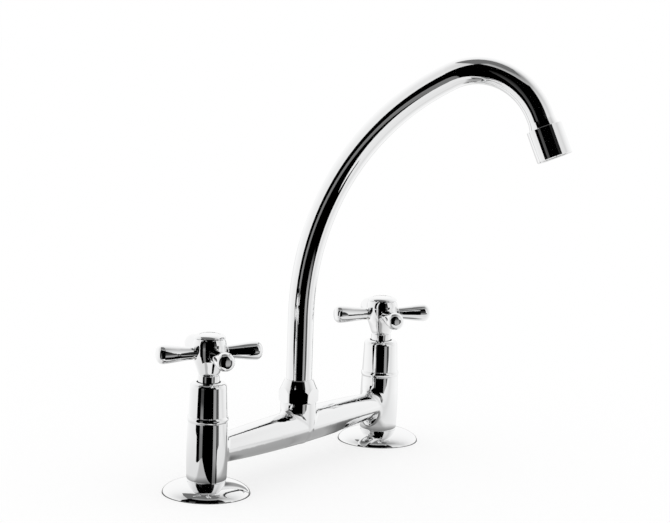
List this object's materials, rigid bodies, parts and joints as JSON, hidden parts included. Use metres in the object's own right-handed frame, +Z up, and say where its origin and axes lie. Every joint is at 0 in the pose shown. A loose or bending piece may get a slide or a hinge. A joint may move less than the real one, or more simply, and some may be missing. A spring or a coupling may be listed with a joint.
{
  "type": "bridge kitchen faucet",
  "caption": "Two-hole bridge kitchen mixer tap with a swivel gooseneck spout, aerator, round deck flanges and cross-head handles that turn and rise on compression valves.",
  "frame": {"origin": "on the deck surface, midway between the two legs", "axes": "+X from the hot (left) leg to the cold (right) leg, -Y towards the user, +Z up"},
  "size_m": [0.2662, 0.2241, 0.2929],
  "materials": {
    "chrome": "polished",
    "brass": "machined",
    "rubber": "moulded",
    "plastic": "moulded",
    "steel": "machined"
  },
  "bodies": {
    "root": {"mixer_body": "chrome", "spout_nut": "chrome", "spout_washers": "plastic", "hot_flange": "chrome", "hot_flange_gasket": "rubber", "hot_foot_collar": "chrome", "hot_valve_seat": "brass", "hot_headwork_body": "brass", "hot_headwork_gasket": "rubber", "hot_shroud_ring": "chrome", "hot_shroud": "chrome", "cold_flange": "chrome", "cold_flange_gasket": "rubber", "cold_foot_collar": "chrome", "cold_valve_seat": "brass", "cold_headwork_body": "brass", "cold_headwork_gasket": "rubber", "cold_shroud_ring": "chrome", "cold_shroud": "chrome"},
    "spout": {"spout_tube": "chrome", "spout_tail": "brass", "spout_o_rings": "rubber", "spout_tip": "chrome", "aerator_housing": "chrome", "aerator_gasket": "rubber", "aerator_cartridge": "plastic", "aerator_screens": "steel"},
    "hot_jumper_body": {"hot_jumper": "brass", "hot_jumper_washer": "rubber", "hot_jumper_nut": "brass"},
    "hot_handle": {"hot_spindle": "brass", "hot_spindle_o_rings": "rubber", "hot_handle_hub": "chrome", "hot_handle_arms": "chrome", "hot_handle_screw": "steel", "hot_index_cap": "chrome", "hot_index_button": "chrome"},
    "cold_jumper_body": {"cold_jumper": "brass", "cold_jumper_washer": "rubber", "cold_jumper_nut": "brass"},
    "cold_handle": {"cold_spindle": "brass", "cold_spindle_o_rings": "rubber", "cold_handle_hub": "chrome", "cold_handle_arms": "chrome", "cold_handle_screw": "steel", "cold_index_cap": "chrome", "cold_index_button": "chrome"}
  },
  "joints": [
    {"name": "spout_swivel", "type": "hinge", "parent": "root", "child": "spout", "pos_m": [0, 0, 0.06], "axis": [0, 0, 1], "continuous": true},
    {"name": "hot_valve_lift", "type": "slide", "parent": "root", "child": "hot_jumper_body", "axis": [0, 0, 1], "range_m": [0, 0.0036]},
    {"name": "hot_handle_turn", "type": "hinge", "parent": "hot_jumper_body", "child": "hot_handle", "pos_m": [-0.1016, 0, 0.094], "axis": [0, 0, 1], "range_deg": [0, 540]},
    {"name": "cold_valve_lift", "type": "slide", "parent": "root", "child": "cold_jumper_body", "axis": [0, 0, 1], "range_m": [0, 0.0036]},
    {"name": "cold_handle_turn", "type": "hinge", "parent": "cold_jumper_body", "child": "cold_handle", "pos_m": [0.1016, 0, 0.094], "axis": [0, 0, 1], "range_deg": [0, 540]}
  ],
  "couplings": [
    {"joint": "hot_valve_lift", "follows": "hot_handle_turn", "m_per_rad": 0.00038197},
    {"joint": "cold_valve_lift", "follows": "cold_handle_turn", "m_per_rad": 0.00038197}
  ]
}
